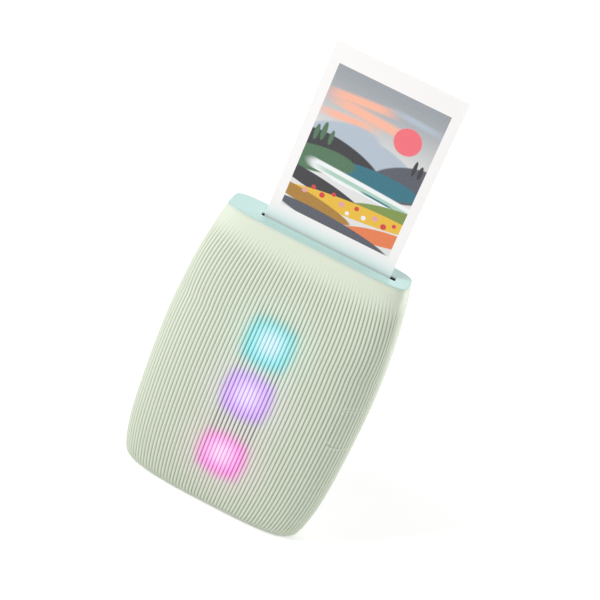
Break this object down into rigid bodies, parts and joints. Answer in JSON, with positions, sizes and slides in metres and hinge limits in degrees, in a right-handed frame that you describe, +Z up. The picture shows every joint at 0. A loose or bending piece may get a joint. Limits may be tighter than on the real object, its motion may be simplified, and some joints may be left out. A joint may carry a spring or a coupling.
{
  "type": "compact photo printer",
  "caption": "Pocket photo printer that stands on its narrow base: ribbed barrel casing, film door with slide lock, side button, rollers and geared motor, with a print half way out of the top.",
  "frame": {"origin": "middle of the base's flat face, on the surface the printer stands on", "axes": "+X to the right seen from the ribbed front, +Y towards the film door at the back, +Z up"},
  "size_m": [0.09, 0.0374, 0.2021],
  "materials": {
    "shell_green": "fine satin moulded plastic, slightly translucent",
    "cap_aqua": "smooth satin moulded plastic",
    "black_plastic": "matt black moulded plastic",
    "pack_grey": "matt dark grey moulded plastic",
    "film_white": "satin white polyester film",
    "picture_layer": null,
    "screw_steel": "zinc-plated steel",
    "sheet_steel": "rolled steel",
    "motor_steel": "nickel-plated steel can",
    "port_steel": "nickel-plated stamped shell",
    "brass": "turned brass",
    "gear_acetal": "natural white acetal",
    "roller_rubber": "ground rubber sleeve",
    "clear_lens": "clear polished lens",
    "board_green": "lacquered glass-fibre board",
    "chip_black": "moulded component body",
    "emitter_white": "light-emitting package",
    "diffuser_white": "milky diffusing plastic",
    "cell_foil": "pouch foil",
    "ribbon_amber": "polyimide flat cable",
    "seal_foam": "soft foam strip"
  },
  "bodies": {
    "casing": {"front_shell": "shell_green", "back_shell": "shell_green", "case_screws": "screw_steel", "top_cap": "cap_aqua", "slot_liner": "black_plastic", "film_stack": "film_white", "pressure_plate": "black_plastic", "film_pack": "pack_grey", "chassis": "black_plastic", "chassis_screws": "screw_steel", "small_screws": "screw_steel", "plate_screws": "screw_steel", "roller_frame": "sheet_steel", "roller_bushes": "gear_acetal", "gear_axles": "sheet_steel", "gear_plate": "sheet_steel", "motor": "motor_steel", "exposure_head": "black_plastic", "lens_bar": "clear_lens", "main_board": "board_green", "board_parts": "chip_black", "light_emitters": "emitter_white", "light_baffle": "black_plastic", "light_diffusers": "diffuser_white", "battery_cell": "cell_foil", "head_ribbon": "ribbon_amber", "cell_ribbon": "ribbon_amber", "power_switch": "chip_black", "switch_board": "board_green", "charging_port": "port_steel", "charge_board": "board_green", "reset_switch": "chip_black", "door_hinge_pin": "sheet_steel", "light_seal": "seal_foam"},
    "film_door_leaf": {"film_door": "shell_green", "door_liner": "black_plastic", "door_window": "clear_lens", "pressure_springs": "sheet_steel"},
    "lock_slide": {"door_lock": "black_plastic"},
    "power_key": {"power_button": "shell_green", "status_lens": "diffuser_white", "switch_stem": "gear_acetal"},
    "reset_key": {"reset_button": "black_plastic"},
    "claw": {"pick_claw": "sheet_steel"},
    "drive_roller": {"drive_shaft": "sheet_steel", "drive_sleeve": "roller_rubber", "drive_gear": "gear_acetal"},
    "pinch_roller": {"pinch_shaft": "sheet_steel", "pinch_sleeve": "roller_rubber", "pinch_gear": "gear_acetal"},
    "gear_one": {"reduction_gear_1": "gear_acetal"},
    "gear_two": {"reduction_gear_2": "gear_acetal"},
    "gear_three": {"reduction_gear_3": "gear_acetal"},
    "motor_rotor": {"motor_pinion": "brass"},
    "print": {"print_sheet": "film_white", "print_picture": "picture_layer"}
  },
  "joints": [
    {"name": "film_door_hinge", "type": "hinge", "parent": "casing", "child": "film_door_leaf", "pos_m": [0, 0.0136, 0.0095], "axis": [-1, 0, 0], "range_deg": [0, 90]},
    {"name": "door_lock_slide", "type": "slide", "parent": "film_door_leaf", "child": "lock_slide", "axis": [0, 0, 1], "range_m": [0, 0.0025]},
    {"name": "power_button_press", "type": "slide", "parent": "casing", "child": "power_key", "axis": [-0.8625, 0.506, 0], "range_m": [0, 0.0006], "stiffness_N_per_m": 800},
    {"name": "reset_button_press", "type": "slide", "parent": "casing", "child": "reset_key", "axis": [1, 0, 0], "range_m": [0, 0.0004], "stiffness_N_per_m": 800},
    {"name": "print_eject", "type": "slide", "parent": "casing", "child": "print", "axis": [0, 0, 1], "range_m": [-0.08322, 0.0009]},
    {"name": "drive_roller_spin", "type": "hinge", "parent": "casing", "child": "drive_roller", "pos_m": [0, -0.0048, 0.1175], "axis": [1, 0, 0], "range_deg": [-1490.2, 16.3]},
    {"name": "pinch_roller_spin", "type": "hinge", "parent": "casing", "child": "pinch_roller", "pos_m": [0, 0.0016, 0.1175], "axis": [1, 0, 0], "range_deg": [-16.3, 1490.2]},
    {"name": "gear_one_spin", "type": "hinge", "parent": "casing", "child": "gear_one", "pos_m": [0, -0.00319, 0.11255], "axis": [1, 0, 0], "range_deg": [-25.9, 2384.2]},
    {"name": "gear_two_spin", "type": "hinge", "parent": "casing", "child": "gear_two", "pos_m": [0, -0.00084, 0.10533], "axis": [1, 0, 0], "range_deg": [-6675.6, 72.3]},
    {"name": "gear_three_spin", "type": "hinge", "parent": "casing", "child": "gear_three", "pos_m": [0, -0.00487, 0.09888], "axis": [1, 0, 0], "range_deg": [-202.4, 18691.4]},
    {"name": "motor_spin", "type": "hinge", "parent": "casing", "child": "motor_rotor", "pos_m": [0, -0.00945, 0.09281], "axis": [1, 0, 0], "range_deg": [-52336, 566.3]},
    {"name": "pick_claw_lift", "type": "slide", "parent": "casing", "child": "claw", "axis": [0, 0, 1], "range_m": [0, 0.0125]}
  ],
  "couplings": [
    {"joint": "drive_roller_spin", "follows": "print_eject", "rad_per_m": 312.5},
    {"joint": "pinch_roller_spin", "follows": "print_eject", "rad_per_m": -312.5},
    {"joint": "gear_one_spin", "follows": "print_eject", "rad_per_m": -500},
    {"joint": "gear_two_spin", "follows": "print_eject", "rad_per_m": 1400},
    {"joint": "gear_three_spin", "follows": "print_eject", "rad_per_m": -3920},
    {"joint": "motor_spin", "follows": "print_eject", "rad_per_m": 10976}
  ]
}
